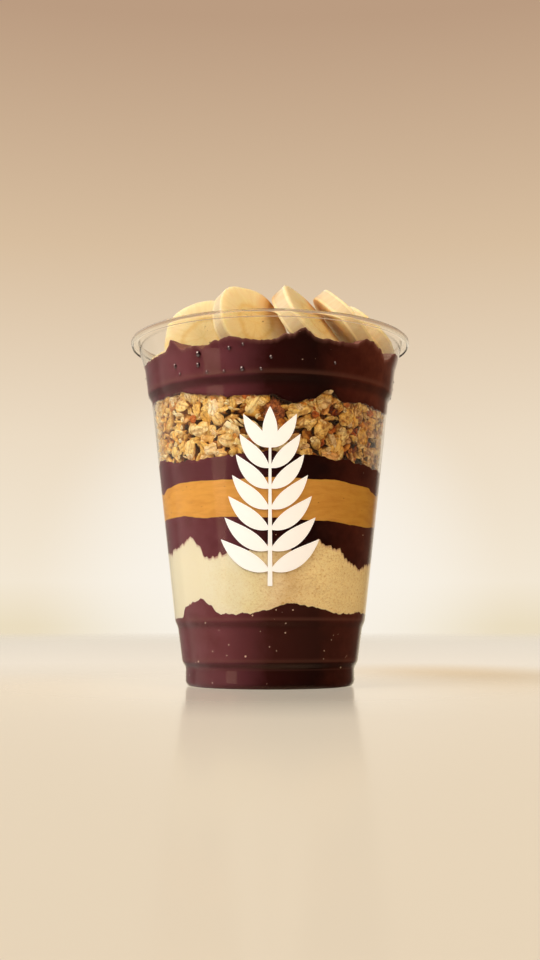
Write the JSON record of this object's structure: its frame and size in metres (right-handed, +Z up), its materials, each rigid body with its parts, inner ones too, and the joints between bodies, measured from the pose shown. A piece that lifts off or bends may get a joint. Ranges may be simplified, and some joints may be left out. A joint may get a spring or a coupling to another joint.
{
  "type": "layered acai bowl in a clear tumbler",
  "caption": "Acai served in a clear plastic tumbler with a rolled rim, layered with powdered milk, peanut butter and granola, and topped with banana slices.",
  "frame": {"origin": "centre of the tumbler's foot, on the surface that it stands on", "axes": "+Z up along the tumbler's axis, -Y towards the side that the picture shows, +X to its right"},
  "size_m": [0.098, 0.098, 0.1337],
  "materials": {
    "clear_plastic": "thin clear thermoformed plastic, glossy",
    "acai": "frozen acai puree, deep purple-brown, satin where it wets the wall",
    "powdered_milk": "packed cream-coloured milk powder, fine and matte",
    "peanut_butter": "smooth peanut butter, satin",
    "granola": "toasted oats and clusters, dry and matte",
    "banana": "fresh banana, moist and satin"
  },
  "bodies": {
    "root": {"cup": "clear_plastic", "acai_base": "acai", "powdered_milk": "powdered_milk", "acai_second": "acai", "peanut_butter": "peanut_butter", "acai_third": "acai", "granola": "granola", "acai_top": "acai", "banana_slice_1": "banana", "banana_slice_2": "banana", "banana_slice_3": "banana", "banana_slice_4": "banana", "banana_slice_5": "banana", "banana_slice_6": "banana", "banana_slice_7": "banana", "banana_slice_8": "banana", "banana_slice_9": "banana"}
  },
  "joints": []
}
